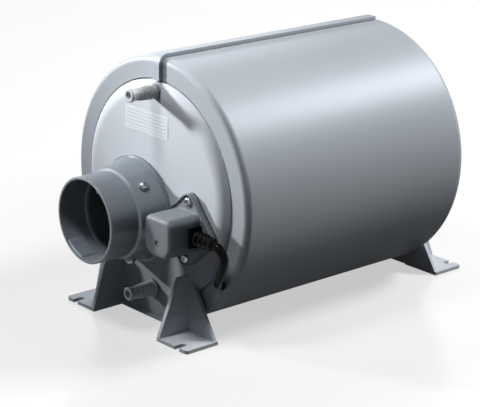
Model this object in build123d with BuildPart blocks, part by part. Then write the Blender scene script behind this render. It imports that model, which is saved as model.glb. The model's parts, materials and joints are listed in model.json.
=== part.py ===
"""Caravan water heater: a five-litre tank that a duct of blown warm air passes through, with an
electric element in its front end, in a round insulated casing that stands on four moulded feet.

X points to the right of someone who faces the front, Y from the front to the back along the
casing, and Z up. The origin lies on the floor under the middle of the casing. Sizes are in
millimetres. On the front, "out" is a distance forwards from the casing's front face, and a
place is given as (to the right, above the casing's axis).
"""

import os
from math import cos, pi, radians, sin, sqrt, tan

from build123d import *

os.makedirs("parts", exist_ok=True)

# Fits and cuts
fit_gap = 0.3  # between round faces that sit in one another
overrun = 1.0  # how far a cut runs past the face it leaves by

# Casing of two half shells
casing_diameter = 220.0
casing_length = 251.5
casing_lift = 2.2  # between the casing and the floor
shell_wall = 3.0
rim_width = 18.4  # flat ring at each end, around the end plate
front_rim_round = 5.2
rear_rim_round = 8.0
strip_left = 5.0  # the raised strip over the top seam, left of the casing's middle
strip_right = 4.5
strip_stop = 9.0  # before the rear face
strip_hollow = 2.0  # between the strip's own wall and the edge of the other shell
seam_gap = 0.3  # between the strip and the shell under it
seam_tongue = 3.0  # how deep the tongue of the bottom seam reaches
seam_tongue_thickness = 1.0

# Foam and tank
foam_thickness = 14.4
foam_chamfer = 2.5
pad_thickness = 12.0  # between an end plate and the tank
tank_wall = 1.2
tank_corner = 2.0

# End plates
plate_wall = 3.0
plate_gap = 0.9  # dark joint between the end plate and the casing
plate_proud = 6.0
shoulder_width = 12.7  # the plate's rounded shoulder
flange_width = 5.3  # behind the casing's ring

# Feet
foot_inner = 42.0  # from the middle to the web
foot_outer = 80.0
foot_length = 36.0  # forwards from the casing's face
foot_wall = 3.0
foot_height = 50.0
foot_corner = 2.5
web_wall = 3.5
left_top_reach = 21.5  # top of the back wall, outwards from the web
right_top_reach = 2.5
left_web_top = 21.0  # top of the web, forwards from the casing's face
right_web_top = 16.0
notch_place = 68.0  # from the middle
notch_width = 5.5
notch_depth = 9.0
apron_gap = 0.8  # between the apron and the floor
apron_lip = 2.5
apron_lip_height = 3.0
apron_lip_round = 1.2

# Warm air duct
duct_left = 20.0
duct_drop_share = 0.226  # of the end plate's radius
tube_radius = 36.0
tube_wall = 1.5
tube_end = 31.5  # out
socket_bore = 34.0  # radius
socket_wall = 2.2
mouth_out = 61.0
mouth_chamfer = 0.5
stop_out = 35.0  # where the socket ends inside
stop_width = 3.0
stop_bore = 32.4  # radius
step_height = 1.8  # where the socket widens to the skirt
step_length = 1.6
skirt_flare = 5.6  # how much the skirt widens towards the casing
skirt_wall = 2.5
skirt_lip = 1.2
skirt_lip_length = 3.0
seal_length = 12.0
duct_screw_out = 22.0
duct_screw_radius = 1.7
duct_screw_boss_height = 1.0
duct_screw_angles = (45, 165, 285)
duct_screw_past = 2.0  # how far a screw reaches into the tube

# Screw heads
head_radius = 3.8
head_height = 2.4
head_margin = 0.8  # of the flat under a head
drive_radius = 1.5
drive_depth = 1.2

# Water hose tails
tail_reach = 26.7  # in front of the end plate
tail_tip_length = 13.0
tail_tip_radius = 5.1
tail_root_radius = 5.2
tail_ridges = 5
tail_ridge_rise = 1.3
tail_ridge_slope_share = 0.75
tail_collar = 1.6
tail_bore = 2.4
tail_pipe = 4.4
tail_pipe_past = 6.0  # into the tank
tail_seal = 1.0
tail_seal_inset = 0.4
hot_tail_right = 2.5
hot_tail_inset = 6.7  # from the plate's edge
hot_collar_radius = 6.5
cold_tail_right = 0.0
cold_tail_inset = 5.7
cold_collar_radius = 8.0

# Electric element
element_right = 49.5
element_drop_share = 0.2315  # of the end plate's radius
neck_radius = 15.0
neck_wall = 1.5
gasket_thickness = 1.0
flange_thickness = 1.5
rod_radius = 3.2
rod_spacing = 13.0
rod_rise = 5.0
rod_depth = 150.0  # into the tank
rod_proud = 1.5  # of the flange
pin_radius = 1.8
pin_length = 9.0

# Terminal cover on the element
cover_width = 32.4
cover_height = 33.2
cover_out = 42.0
cover_wall = 2.0
cover_top_round = 6.0
cover_bottom_round = 11.0
cover_edge_round = 3.5
base_side = 48.5
base_corner = 8.0
base_left_reach = 21.5  # where its left corner is cut off beside the duct
base_thickness = 2.5
base_rim = 1.2
base_rim_height = 1.2
base_turn = -4  # degrees
cover_screw_spacing = 48.8
cover_screw_radius = 2.0
screw_boss_radius = 5.5
screw_boss_depth = 9.0
screw_tip_room = 2.0  # left in the boss past the screw

# Parts inside the cover
cutout_radius = 7.4
cutout_height = 9.0
button_right = 0.8  # from the middle of the cover
button_drop = 4.6
button_radius = 2.3
button_recess = 0.8
button_travel = 2.5
button_shoulder = 1.2
button_shoulder_length = 2.0
guide_radius = 4.6
guide_length = 8.0
block_width = 20.0
block_height = 6.0
block_depth = 12.0
block_rise = 11.4
block_screw_radius = 1.6
block_screw_depth = 5.0
block_screw_spacing = 10.0

# Strain relief and lead
relief_front = 22.9  # out
relief_height = 16.5
relief_proud = 2.6
relief_neck = 8.0
relief_grip = 11.0
relief_grip_thickness = 1.5
boot_out = 16.4
boot_length = 22.8
boot_droop = 3  # degrees
boot_root_radius = 5.2
boot_tip_radius = 4.3
boot_ribs = 4
boot_rib_rise = 0.7
boot_rib_share = 0.6  # of a rib in its pitch
lead_diameter = 7.2
lead_start = 4.3  # the lead's straight run out of the boot
lead_entry_inset = 9.4  # from the casing's outside to the middle of the hole for the lead
lead_entry_angle = -38.9  # degrees
lead_end_depth = 3.45  # behind the casing's face
lead_way_shares = (0.054, 0.142, 0.284, 0.53, 0.716, 0.839, 0.918)  # of the way from boot to hole
lead_bow_right = (4.5, 7.9, 10.15, 8.9, 6.8, 4.8, 2.9)  # from that straight way
lead_bow_out = (0.6, 1.4, 2.7, 5.4, 7.9, 8.5, 6.9)
lead_bend_share = 0.45  # of the shorter run beside a bend that its curve takes up

# Sizes and places that follow from those above
casing_radius = casing_diameter / 2
axis_height = casing_lift + casing_radius
front_y = -casing_length / 2
rear_y = casing_length / 2
opening_radius = casing_radius - rim_width
strip_rise = seam_gap + shell_wall
strip_end = rear_y - strip_stop
plate_radius = opening_radius - plate_gap
plate_flat = plate_radius - shoulder_width
plate_back = shell_wall + plate_wall  # behind the casing's face
tank_radius = casing_radius - shell_wall - foam_thickness - 2 * fit_gap
tank_behind = plate_back + pad_thickness  # behind the casing's face
tank_half = casing_length / 2 - tank_behind
duct_drop = duct_drop_share * plate_radius
element_drop = element_drop_share * plate_radius
duct_place = (-duct_left, -duct_drop)
skirt_front = stop_out - stop_width
step_front = skirt_front + step_length
skirt_end = plate_proud + skirt_lip_length
socket_radius = socket_bore + socket_wall
skirt_radius = socket_radius + step_height
sleeve_bore = tube_radius + fit_gap
hot_tail_place = (hot_tail_right, plate_radius - hot_tail_inset)
cold_tail_place = (cold_tail_right, cold_tail_inset - plate_radius)
tail_base = plate_proud + tail_seal
tail_tip = plate_proud + tail_reach
element_place = (element_right, -element_drop)
flange_back = plate_proud + gasket_thickness
flange_front = flange_back + flange_thickness
base_front = flange_front + base_thickness
cutout_place = (element_right + button_right, -element_drop - button_drop)
cutout_front = flange_front + cutout_height
cover_side = element_right + cover_width / 2
lead_radius = lead_diameter / 2


def facing(out):
    """Plane that faces forwards, this far out, centred on the casing's axis."""
    return Plane(origin=(0, front_y - out, axis_height), x_dir=(1, 0, 0), z_dir=(0, -1, 0))


def standing(out):
    """Plane that faces forwards, this far out, with its middle on the floor."""
    return Plane(origin=(0, front_y - out, 0), x_dir=(1, 0, 0), z_dir=(0, -1, 0))


def turning(place):
    """Plane for a turned profile: x runs out from the casing's face, y is the radius."""
    right, above = place
    return Plane(origin=(right, front_y, axis_height + above), x_dir=(0, -1, 0), z_dir=(-1, 0, 0))


def turning_axis(place):
    """Axis that a profile on the plane of the same place turns about."""
    right, above = place
    return Axis((right, front_y, axis_height + above), (0, -1, 0))


# Casing: each shell is half of a turned wall, and the left one overlaps the right one at the
# top under a raised strip
side_plane = Plane(origin=(0, 0, axis_height), x_dir=(0, 1, 0), z_dir=(1, 0, 0))
right_turn = Axis((0, 0, axis_height), (0, 1, 0))
left_turn = Axis((0, 0, axis_height), (0, -1, 0))


def casing_wall(section):
    """Section of the casing's wall above its axis, with the ring at each end."""
    with Locations((0, casing_radius - rim_width / 2)):
        Rectangle(casing_length, rim_width)
    hollow = rim_width - shell_wall
    with Locations((0, opening_radius + hollow / 2)):
        Rectangle(casing_length - 2 * shell_wall, hollow, mode=Mode.SUBTRACT)
    for row, inset in ((-2, shell_wall), (-1, 0)):
        corner = section.vertices().group_by(Axis.Y)[row].sort_by(Axis.X)[0]
        fillet(corner, front_rim_round - inset)
        corner = section.vertices().group_by(Axis.Y)[row].sort_by(Axis.X)[-1]
        fillet(corner, rear_rim_round - inset)


def casing_front_corner(grow, end, mode=Mode.ADD):
    """Outline of the casing's top from the front to end, grown outwards by grow."""
    face = front_y - grow
    top = casing_radius + grow
    corner = front_rim_round + grow
    with BuildLine() as outline:
        Line((face, opening_radius), (face, top - corner))
        TangentArc((face, top - corner), (face + corner, top), tangent=(0, 1))
        Polyline((face + corner, top), (end, top), (end, opening_radius), (face, opening_radius))
    make_face(outline.edges(), mode=mode)


def seam_key(grow):
    """Section of the tongue in the bottom seam, grown by grow for its groove."""
    with Locations((0, -casing_radius + shell_wall / 2)):
        Rectangle(casing_length - 2 * rim_width + 2 * grow, seam_tongue_thickness + 2 * grow)


with BuildPart() as left_shell:
    with BuildSketch(side_plane) as left_section:
        casing_wall(left_section)
    revolve(axis=left_turn, revolution_arc=180)
    # The wall under the strip is cut away, and the strip stands one wall further out
    with BuildSketch(side_plane.offset(-strip_left)):
        casing_front_corner(strip_rise, strip_end - shell_wall)
    extrude(amount=strip_left, mode=Mode.SUBTRACT)
    with BuildSketch(side_plane.offset(-strip_left)):
        casing_front_corner(strip_rise, strip_end)
        casing_front_corner(seam_gap, strip_end, mode=Mode.SUBTRACT)
    extrude(amount=strip_left + strip_right)
    with BuildSketch(side_plane.offset(-strip_left)):
        casing_front_corner(strip_rise, strip_end)
        casing_front_corner(-shell_wall, strip_end, mode=Mode.SUBTRACT)
    extrude(amount=strip_left - strip_hollow)
    with BuildSketch(side_plane):
        seam_key(fit_gap)
    extrude(amount=-seam_tongue - fit_gap, mode=Mode.SUBTRACT)

left_shell.part.label = "left_shell"
export_step(left_shell.part, "parts/left_shell.step")

# Strain relief's boot: the lead leaves its tip, bends down, and runs slantwise into the casing
boot_root = Vector(cover_side, front_y - boot_out, axis_height - element_drop)
boot_direction = Vector(cos(radians(boot_droop)), 0, -sin(radians(boot_droop)))
boot_tip = boot_root + boot_direction * boot_length
lead_turn = boot_tip + boot_direction * lead_start
entry_radius = casing_radius - lead_entry_inset
entry_angle = radians(lead_entry_angle)
lead_end = Vector(
    entry_radius * cos(entry_angle),
    front_y + lead_end_depth,
    axis_height + entry_radius * sin(entry_angle),
)
lead_route = [boot_tip, lead_turn]
for share, right, out in zip(lead_way_shares, lead_bow_right, lead_bow_out):
    lead_route.append(lead_turn + (lead_end - lead_turn) * share + Vector(right, -out, 0))
lead_route.append(lead_end)


def bend_radii(route):
    """Radius of each corner: as large as the two runs beside it allow."""
    radii = []
    for before, corner, after in zip(route, route[1:], route[2:]):
        run_in = corner - before
        run_out = after - corner
        half_turn = radians(run_in.get_angle(run_out)) / 2
        shorter = min(run_in.length, run_out.length)
        radii.append(lead_bend_share * shorter / tan(half_turn))
    return radii


lead_radii = bend_radii(lead_route)
print("lead bends, radius in mm:", [round(radius, 1) for radius in lead_radii])

with BuildPart() as mains_lead:
    with BuildLine() as lead_path:
        FilletPolyline(*lead_route, radius=lead_radii)
    with BuildSketch(Plane(origin=boot_tip, z_dir=boot_direction)):
        Circle(lead_radius)
    sweep()

lead_length = sum(edge.length for edge in lead_path.edges())
lead_fill = mains_lead.part.volume / (pi * lead_radius**2 * lead_length)
print("lead length in mm:", round(lead_length, 1))
print("lead volume against section times length:", round(lead_fill, 3))
mains_lead.part.label = "mains_lead"
export_step(mains_lead.part, "parts/mains_lead.step")

with BuildPart() as right_shell:
    with BuildSketch(side_plane) as right_section:
        casing_wall(right_section)
    revolve(axis=right_turn, revolution_arc=180)
    with BuildSketch(side_plane):
        seam_key(0)
    extrude(amount=-seam_tongue)
    # The hole for the lead slants with its last run
    last_run = lead_end - lead_route[-2]
    with BuildSketch(Plane(origin=lead_end, z_dir=last_run)):
        Circle(lead_radius + fit_gap)
    extrude(amount=last_run.length, both=True, mode=Mode.SUBTRACT)

right_shell.part.label = "right_shell"
export_step(right_shell.part, "parts/right_shell.step")


# Foam lining between the shells and the tank, in two halves
def lining_section(section):
    """Section of the foam lining above the casing's axis."""
    with Locations((0, tank_radius + fit_gap + foam_thickness / 2)):
        Rectangle(casing_length - 2 * plate_back, foam_thickness)
    chamfer(section.vertices().group_by(Axis.Y)[-1], foam_chamfer)


with BuildPart() as foam_lining_left:
    with BuildSketch(side_plane) as left_lining:
        lining_section(left_lining)
    revolve(axis=left_turn, revolution_arc=180)

with BuildPart() as foam_lining_right:
    with BuildSketch(side_plane) as right_lining:
        lining_section(right_lining)
    revolve(axis=right_turn, revolution_arc=180)

foam_lining_left.part.label = "foam_lining_left"
export_step(foam_lining_left.part, "parts/foam_lining_left.step")
foam_lining_right.part.label = "foam_lining_right"
export_step(foam_lining_right.part, "parts/foam_lining_right.step")

# Places of the screws of the terminal cover, at the top and bottom of its turned base
screw_line = radians(90 + base_turn)
screw_right = cos(screw_line) * cover_screw_spacing / 2
screw_up = sin(screw_line) * cover_screw_spacing / 2
cover_screw_places = [
    (element_right + side * screw_right, side * screw_up - element_drop) for side in (-1, 1)
]


def circles(places, radius):
    """Draw a circle at each place."""
    with Locations(*places):
        Circle(radius)


# Tank: a thin can around the duct tube, with a neck for the element
with BuildPart() as water_tank:
    with BuildSketch(side_plane) as tank_section:
        with Locations((0, tank_radius / 2)):
            Rectangle(2 * tank_half, tank_radius)
        fillet(tank_section.vertices().group_by(Axis.Y)[-1], tank_corner)
        with Locations((0, (tank_radius - tank_wall) / 2)):
            Rectangle(2 * (tank_half - tank_wall), tank_radius - tank_wall, mode=Mode.SUBTRACT)
    revolve(axis=right_turn)
    with BuildSketch(facing(plate_proud)):
        circles([element_place], neck_radius)
    extrude(amount=-plate_proud - tank_behind - tank_wall)
    with BuildSketch(facing(0)):
        circles([duct_place], sleeve_bore)
    extrude(amount=-casing_length, mode=Mode.SUBTRACT)
    with BuildSketch(facing(plate_proud + overrun)):
        circles([hot_tail_place, cold_tail_place], tail_pipe + fit_gap)
        circles([element_place], neck_radius - neck_wall)
    extrude(amount=-casing_length / 2, mode=Mode.SUBTRACT)

water_tank.part.label = "water_tank"
export_step(water_tank.part, "parts/water_tank.step")


# Duct collars: the front one is a socket for the duct with a flared skirt over the tube's end,
# and the rear one is its mirror image
skirt_slope = skirt_flare / (skirt_front - skirt_end)


def skirt_at(out):
    """Outer radius of the skirt, this far out."""
    return skirt_radius + skirt_slope * (skirt_front - out)


pocket_front = skirt_front - (sleeve_bore + skirt_wall - skirt_radius) / skirt_slope
screw_seat = skirt_at(duct_screw_out) + duct_screw_boss_height


def radial_plane(angle, distance, end=1):
    """Plane at a duct screw, facing away from the duct's axis, at the front or the rear end."""
    away = Vector(cos(radians(angle)), 0, sin(radians(angle)))
    middle = Vector(-duct_left, end * (front_y - duct_screw_out), axis_height - duct_drop)
    return Plane(origin=middle + away * distance, z_dir=away)


with BuildPart() as front_duct_collar:
    with BuildSketch(turning(duct_place)):
        Polygon(
            (mouth_out, 0),
            (mouth_out, socket_radius - mouth_chamfer),
            (mouth_out - mouth_chamfer, socket_radius),
            (step_front, socket_radius),
            (skirt_front, skirt_radius),
            (skirt_end, skirt_at(skirt_end)),
            (skirt_end, skirt_at(skirt_end) + skirt_lip),
            (plate_proud, skirt_at(skirt_end) + skirt_lip),
            (plate_proud, 0),
            align=None,
        )
    revolve(axis=turning_axis(duct_place))
    for angle in duct_screw_angles:
        with BuildSketch(radial_plane(angle, screw_seat)):
            Circle(head_radius + head_margin)
        extrude(amount=-duct_screw_boss_height - skirt_wall)
    with BuildSketch(turning(duct_place)):
        Polygon(
            (mouth_out + overrun, 0),
            (mouth_out + overrun, socket_bore),
            (stop_out, socket_bore),
            (stop_out, stop_bore),
            (skirt_front, stop_bore),
            (skirt_front, sleeve_bore),
            (pocket_front, sleeve_bore),
            (plate_proud - overrun, skirt_at(plate_proud - overrun) - skirt_wall),
            (plate_proud - overrun, 0),
            align=None,
        )
    revolve(axis=turning_axis(duct_place), mode=Mode.SUBTRACT)
    for angle in duct_screw_angles:
        with BuildSketch(radial_plane(angle, screw_seat)):
            Circle(duct_screw_radius + fit_gap)
        extrude(amount=tube_radius - screw_seat, mode=Mode.SUBTRACT)

with BuildPart() as rear_duct_collar:
    mirror(front_duct_collar.part, about=Plane.XZ)

front_duct_collar.part.label = "front_duct_collar"
export_step(front_duct_collar.part, "parts/front_duct_collar.step")
rear_duct_collar.part.label = "rear_duct_collar"
export_step(rear_duct_collar.part, "parts/rear_duct_collar.step")

# Duct tube through the tank, open at both ends, with holes for the collars' screws
with BuildPart() as duct_tube:
    with BuildSketch(facing(tube_end)):
        with Locations(duct_place):
            Circle(tube_radius)
            Circle(tube_radius - tube_wall, mode=Mode.SUBTRACT)
    extrude(amount=-casing_length - 2 * tube_end)
    for end in (1, -1):
        for angle in duct_screw_angles:
            with BuildSketch(radial_plane(angle, tube_radius + overrun, end)):
                Circle(duct_screw_radius + fit_gap)
            extrude(amount=-tube_wall - 2 * overrun, mode=Mode.SUBTRACT)

duct_tube.part.label = "duct_tube"
export_step(duct_tube.part, "parts/duct_tube.step")

# Screws that hold the collars on the tube
with BuildPart() as duct_screws:
    for end in (1, -1):
        for angle in duct_screw_angles:
            with BuildSketch(radial_plane(angle, screw_seat, end)):
                Circle(head_radius)
            extrude(amount=head_height)
            with BuildSketch(radial_plane(angle, screw_seat, end)):
                Circle(duct_screw_radius)
            extrude(amount=tube_radius - tube_wall - duct_screw_past - screw_seat)
            with BuildSketch(radial_plane(angle, screw_seat + head_height, end)):
                Circle(drive_radius)
            extrude(amount=-drive_depth, mode=Mode.SUBTRACT)

duct_screws.part.label = "duct_screws"
export_step(duct_screws.part, "parts/duct_screws.step")

# Seals in the skirts, around the ends of the tube
seal_front = plate_proud + seal_length
seal_cover = skirt_wall + fit_gap

with BuildPart() as duct_seals:
    with BuildSketch(turning(duct_place)):
        Polygon(
            (plate_proud, sleeve_bore),
            (plate_proud, skirt_at(plate_proud) - seal_cover),
            (seal_front, skirt_at(seal_front) - seal_cover),
            (seal_front, sleeve_bore),
            align=None,
        )
    revolve(axis=turning_axis(duct_place))
    mirror(duct_seals.part, about=Plane.XZ)

duct_seals.part.label = "duct_seals"
export_step(duct_seals.part, "parts/duct_seals.step")

# End plates: a shallow dish behind the casing's ring, with an apron down to two feet. The blank
# is what the front and the rear plate share.
shoulder_round = (shoulder_width**2 + plate_proud**2) / (2 * plate_proud)
rim_inner = plate_radius - plate_wall
rim_depth = sqrt((shoulder_round - plate_wall) ** 2 - (rim_inner - plate_flat) ** 2)
rim_start = plate_proud - shoulder_round + rim_depth  # out, where the rim's inside begins
plate_inside = plate_proud - plate_wall
web_outer = foot_inner + web_wall

with BuildPart() as plate_blank:
    with BuildSketch(turning((0, 0))):
        with BuildLine():
            Line((plate_inside, 0), (plate_proud, 0))
            Line((plate_proud, 0), (plate_proud, plate_flat))
            TangentArc((plate_proud, plate_flat), (0, plate_radius), tangent=(0, 1))
            Polyline(
                (0, plate_radius),
                (-shell_wall, plate_radius),
                (-shell_wall, plate_radius + flange_width),
                (-plate_back, plate_radius + flange_width),
                (-plate_back, rim_inner),
                (rim_start, rim_inner),
            )
            TangentArc((plate_inside, plate_flat), (rim_start, rim_inner), tangent=(0, 1))
            Line((plate_inside, plate_flat), (plate_inside, 0))
        make_face()
    revolve(axis=turning_axis((0, 0)))
    # The apron fills the shoulder below and is the back wall of both feet
    with BuildSketch(standing(plate_proud)):
        Polygon(
            (-foot_outer, 0),
            (-web_outer - left_top_reach, foot_height),
            (web_outer + right_top_reach, foot_height),
            (foot_outer, 0),
            (foot_inner, 0),
            (foot_inner, apron_gap),
            (-foot_inner, apron_gap),
            (-foot_inner, 0),
            align=None,
        )
    extrude(amount=-plate_wall)
    with BuildSketch(Plane.YZ.offset(-foot_inner)) as lip:
        with Locations((front_y - plate_proud - apron_lip / 2, apron_gap + apron_lip_height / 2)):
            Rectangle(apron_lip, apron_lip_height)
        fillet(lip.vertices().group_by(Axis.X)[0], apron_lip_round)
    extrude(amount=2 * foot_inner)
    # Feet: a flange on the floor, with a notch for a screw in its front edge
    foot_width = foot_outer - foot_inner
    foot_reach = foot_length - plate_inside
    notch_end = front_y - foot_length + notch_depth - notch_width / 2
    with BuildSketch(Plane.XY) as soles:
        for side in (-1, 1):
            middle = side * (foot_inner + foot_width / 2)
            with Locations((middle, front_y - plate_inside - foot_reach / 2)):
                Rectangle(foot_width, foot_reach)
        fillet(soles.vertices().group_by(Axis.Y)[0], foot_corner)
        for side in (-1, 1):
            with Locations((side * notch_place, notch_end)):
                Circle(notch_width / 2, mode=Mode.SUBTRACT)
            with Locations((side * notch_place, notch_end - notch_depth / 2)):
                Rectangle(notch_width, notch_depth, mode=Mode.SUBTRACT)
    extrude(amount=foot_wall)
    # Webs, one at the inner side of each foot
    for start, top in ((-web_outer, left_web_top), (foot_inner, right_web_top)):
        with BuildSketch(Plane.YZ.offset(start)):
            Polygon(
                (front_y - plate_inside, 0),
                (front_y - foot_length, 0),
                (front_y - foot_length, foot_wall),
                (front_y - top, foot_height),
                (front_y - plate_inside, foot_height),
                align=None,
            )
        extrude(amount=web_wall)

with BuildPart() as front_end_plate:
    add(plate_blank.part)
    # Flat boss under the hot water tail, and bosses behind for the cover's screws
    with BuildSketch(facing(plate_proud)):
        circles([hot_tail_place], hot_collar_radius)
    extrude(amount=-plate_proud)
    with BuildSketch(facing(plate_inside)):
        circles(cover_screw_places, screw_boss_radius)
    extrude(amount=-screw_boss_depth)
    with BuildSketch(facing(plate_proud + overrun)):
        circles([duct_place], sleeve_bore)
        circles([element_place], neck_radius + fit_gap)
        circles([hot_tail_place, cold_tail_place], tail_pipe + fit_gap)
    extrude(amount=-plate_proud - plate_back - 2 * overrun, mode=Mode.SUBTRACT)
    with BuildSketch(facing(plate_proud)):
        circles(cover_screw_places, cover_screw_radius + fit_gap)
    extrude(amount=screw_tip_room / 2 - plate_wall - screw_boss_depth, mode=Mode.SUBTRACT)

with BuildPart() as rear_end_plate:
    mirror(plate_blank.part, about=Plane.XZ)
    with BuildSketch(facing(0)):
        circles([duct_place], sleeve_bore)
    extrude(amount=-2 * casing_length, mode=Mode.SUBTRACT)

front_end_plate.part.label = "front_end_plate"
export_step(front_end_plate.part, "parts/front_end_plate.step")
rear_end_plate.part.label = "rear_end_plate"
export_step(rear_end_plate.part, "parts/rear_end_plate.step")

# Foam pads between the end plates and the tank
with BuildPart() as pad_blank:
    with BuildSketch(facing(plate_inside)):
        Circle(plate_flat - plate_wall)
    extrude(amount=-plate_inside - plate_back)
    with BuildSketch(facing(-plate_back)):
        Circle(tank_radius - fit_gap)
    extrude(amount=-pad_thickness)
    with BuildSketch(facing(plate_proud)):
        circles([duct_place], sleeve_bore)
    extrude(amount=-plate_proud - tank_behind, mode=Mode.SUBTRACT)

with BuildPart() as front_foam_pad:
    add(pad_blank.part)
    with BuildSketch(facing(plate_proud)):
        circles([element_place], neck_radius + fit_gap)
        circles([hot_tail_place, cold_tail_place], tail_pipe + fit_gap)
        circles(cover_screw_places, screw_boss_radius + fit_gap)
    extrude(amount=-plate_proud - tank_behind, mode=Mode.SUBTRACT)

with BuildPart() as rear_foam_pad:
    mirror(pad_blank.part, about=Plane.XZ)

front_foam_pad.part.label = "front_foam_pad"
export_step(front_foam_pad.part, "parts/front_foam_pad.step")
rear_foam_pad.part.label = "rear_foam_pad"
export_step(rear_foam_pad.part, "parts/rear_foam_pad.step")


# Water hose tails: a smooth tip, ridges that grow towards a collar, and a pipe into the tank
def tail_profile(collar_radius):
    """Half profile of a hose tail with its pipe."""
    ridge_front = tail_tip - tail_tip_length
    collar_front = tail_base + tail_collar
    pitch = (ridge_front - collar_front) / tail_ridges
    points = [(tail_tip, tail_bore), (tail_tip, tail_tip_radius)]
    for ridge in range(tail_ridges):
        start = ridge_front - ridge * pitch
        crest = tail_root_radius + tail_ridge_rise * (ridge + 1) / tail_ridges
        points.append((start, tail_root_radius if ridge else tail_tip_radius))
        points.append((start - pitch * tail_ridge_slope_share, crest))
    pipe_end = -tank_behind - tail_pipe_past
    points += [
        (collar_front, tail_root_radius),
        (collar_front, collar_radius),
        (tail_base, collar_radius),
        (tail_base, tail_pipe),
        (pipe_end, tail_pipe),
        (pipe_end, tail_bore),
    ]
    Polygon(*points, align=None)


with BuildPart() as hot_water_outlet:
    with BuildSketch(turning(hot_tail_place)):
        tail_profile(hot_collar_radius)
    revolve(axis=turning_axis(hot_tail_place))

with BuildPart() as cold_water_inlet:
    with BuildSketch(turning(cold_tail_place)):
        tail_profile(cold_collar_radius)
    revolve(axis=turning_axis(cold_tail_place))

hot_water_outlet.part.label = "hot_water_outlet"
export_step(hot_water_outlet.part, "parts/hot_water_outlet.step")
cold_water_inlet.part.label = "cold_water_inlet"
export_step(cold_water_inlet.part, "parts/cold_water_inlet.step")

# Seals between the tails' collars and the end plate
with BuildPart() as tail_seals:
    with BuildSketch(facing(plate_proud)):
        circles([hot_tail_place], hot_collar_radius - tail_seal_inset)
        circles([cold_tail_place], cold_collar_radius - tail_seal_inset)
        with Locations(hot_tail_place, cold_tail_place):
            Circle(tail_pipe + fit_gap, mode=Mode.SUBTRACT)
    extrude(amount=tail_seal)

tail_seals.part.label = "tail_seals"
export_step(tail_seals.part, "parts/tail_seals.step")


# Electric element: gasket, steel flange, and a bent rod with a terminal pin at each end
def base_outline(inset, mode=Mode.ADD):
    """Turned square with round corners around the element, its left corner cut off."""
    side = base_side - 2 * inset
    with Locations(element_place):
        RectangleRounded(side, side, base_corner - inset, rotation=45 + base_turn, mode=mode)
    with Locations((element_right - base_left_reach + inset - base_side / 2, -element_drop)):
        Rectangle(base_side, base_side, mode=Mode.SUBTRACT)


def base_holes():
    """Holes of the cover's screws in what lies under its base."""
    with Locations(*cover_screw_places):
        Circle(cover_screw_radius + fit_gap, mode=Mode.SUBTRACT)


rod_places = [
    (element_right + side * rod_spacing / 2, rod_rise - element_drop) for side in (-1, 1)
]

with BuildPart() as element_gasket:
    with BuildSketch(facing(plate_proud)):
        base_outline(0)
        base_holes()
        with Locations(element_place):
            Circle(neck_radius - neck_wall, mode=Mode.SUBTRACT)
    extrude(amount=gasket_thickness)

with BuildPart() as element_flange:
    with BuildSketch(facing(flange_back)):
        base_outline(0)
        base_holes()
        with Locations(*rod_places):
            Circle(rod_radius + fit_gap, mode=Mode.SUBTRACT)
    extrude(amount=flange_thickness)

rod_height = axis_height - element_drop + rod_rise
rod_start = front_y - flange_front - rod_proud
rod_bend = front_y + tank_behind + rod_depth - rod_spacing / 2
rod_left = element_right - rod_spacing / 2
rod_right = element_right + rod_spacing / 2

with BuildPart() as heating_element:
    with BuildLine():
        Line((rod_left, rod_start, rod_height), (rod_left, rod_bend, rod_height))
        ThreePointArc(
            (rod_left, rod_bend, rod_height),
            (element_right, rod_bend + rod_spacing / 2, rod_height),
            (rod_right, rod_bend, rod_height),
        )
        Line((rod_right, rod_bend, rod_height), (rod_right, rod_start, rod_height))
    with BuildSketch(Plane(origin=(rod_left, rod_start, rod_height), z_dir=(0, 1, 0))):
        Circle(rod_radius)
    sweep()
    with BuildSketch(facing(flange_front + rod_proud)):
        circles(rod_places, pin_radius)
    extrude(amount=pin_length)

element_gasket.part.label = "element_gasket"
export_step(element_gasket.part, "parts/element_gasket.step")
element_flange.part.label = "element_flange"
export_step(element_flange.part, "parts/element_flange.step")
heating_element.part.label = "heating_element"
export_step(heating_element.part, "parts/heating_element.step")


# Terminal cover: a box with round edges on the base, open at its back
def cover_outline(section, inset):
    """Front view of the cover's box."""
    with Locations(element_place):
        Rectangle(cover_width - 2 * inset, cover_height - 2 * inset)
    fillet(section.vertices().group_by(Axis.Y)[-1], cover_top_round - inset)
    fillet(section.vertices().group_by(Axis.Y)[0], cover_bottom_round - inset)


def beside_cover(right, out):
    """Plane that faces right, at the height of the boot."""
    centre = (right, front_y - out, axis_height - element_drop)
    return Plane(origin=centre, x_dir=(0, 1, 0), z_dir=(1, 0, 0))


relief_middle = (base_front + relief_front) / 2
boot_seat = boot_root + boot_direction * relief_proud

with BuildPart() as cover_core:
    with BuildSketch(facing(flange_front)) as core_outline:
        cover_outline(core_outline, cover_wall)
    extrude(amount=cover_out - cover_wall - flange_front)
    fillet(cover_core.faces().sort_by(Axis.Y)[0].edges(), cover_edge_round - cover_wall)

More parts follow.
